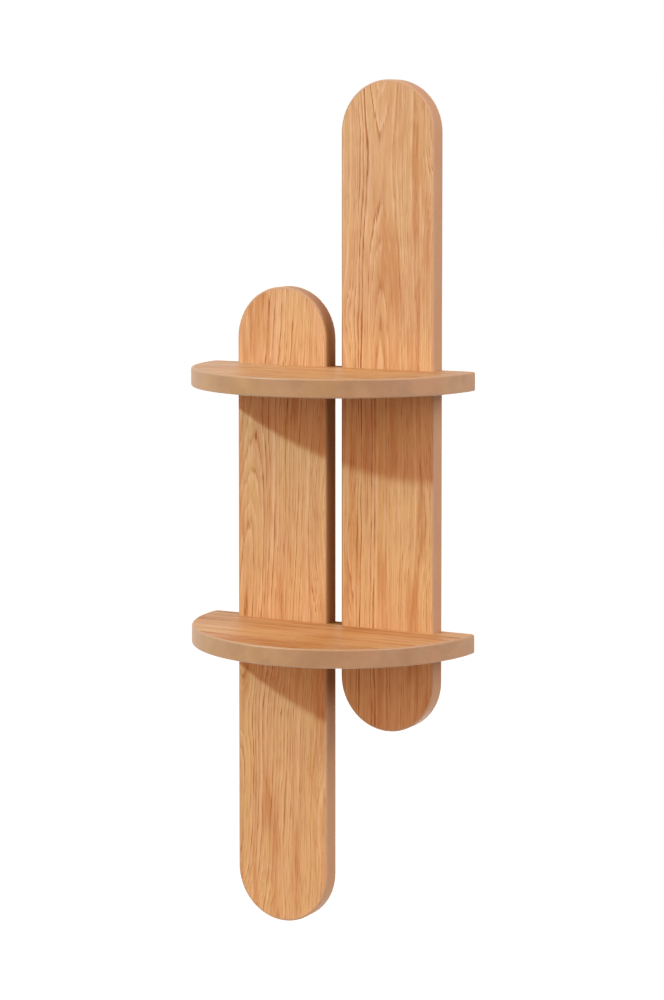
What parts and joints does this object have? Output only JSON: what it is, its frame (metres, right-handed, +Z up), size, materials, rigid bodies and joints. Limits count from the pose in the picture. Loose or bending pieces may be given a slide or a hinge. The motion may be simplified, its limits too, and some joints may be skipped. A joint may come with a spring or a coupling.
{
  "type": "wall shelf",
  "caption": "Wall shelf with half-moon shelves notched round staggered pill-shaped upright boards, hung from hidden keyhole plates.",
  "frame": {"origin": "on the wall plane, midway between the two boards, at the middle of the upper shelf's thickness", "axes": "+X to the right along the wall, +Y into the wall, +Z up"},
  "size_m": [0.288, 0.15, 0.825],
  "materials": {
    "oak_veneer": "satin lacquered oak veneer, grain along the boards and left to right on the shelves",
    "edge_band": "plain satin edge band with rounded arrises",
    "fibreboard": "raw medium-density fibreboard",
    "steel_plate": "stamped steel",
    "zinc_screw": "zinc plated"
  },
  "bodies": {
    "root": {"left_board_core": "fibreboard", "left_board_front_veneer": "oak_veneer", "left_board_back_veneer": "oak_veneer", "left_board_edge_band": "edge_band", "right_board_core": "fibreboard", "right_board_front_veneer": "oak_veneer", "right_board_back_veneer": "oak_veneer", "right_board_edge_band": "edge_band", "upper_shelf_core": "fibreboard", "upper_shelf_top_veneer": "oak_veneer", "upper_shelf_bottom_veneer": "oak_veneer", "upper_shelf_edge_band": "edge_band", "upper_shelf_tooth_band": "edge_band", "lower_shelf_core": "fibreboard", "lower_shelf_top_veneer": "oak_veneer", "lower_shelf_bottom_veneer": "oak_veneer", "lower_shelf_edge_band": "edge_band", "lower_shelf_tooth_band": "edge_band", "left_hanger_plate": "steel_plate", "right_hanger_plate": "steel_plate", "left_hanger_screws": "zinc_screw", "right_hanger_screws": "zinc_screw", "upper_joint_screws": "zinc_screw", "lower_joint_screws": "zinc_screw"}
  },
  "joints": []
}
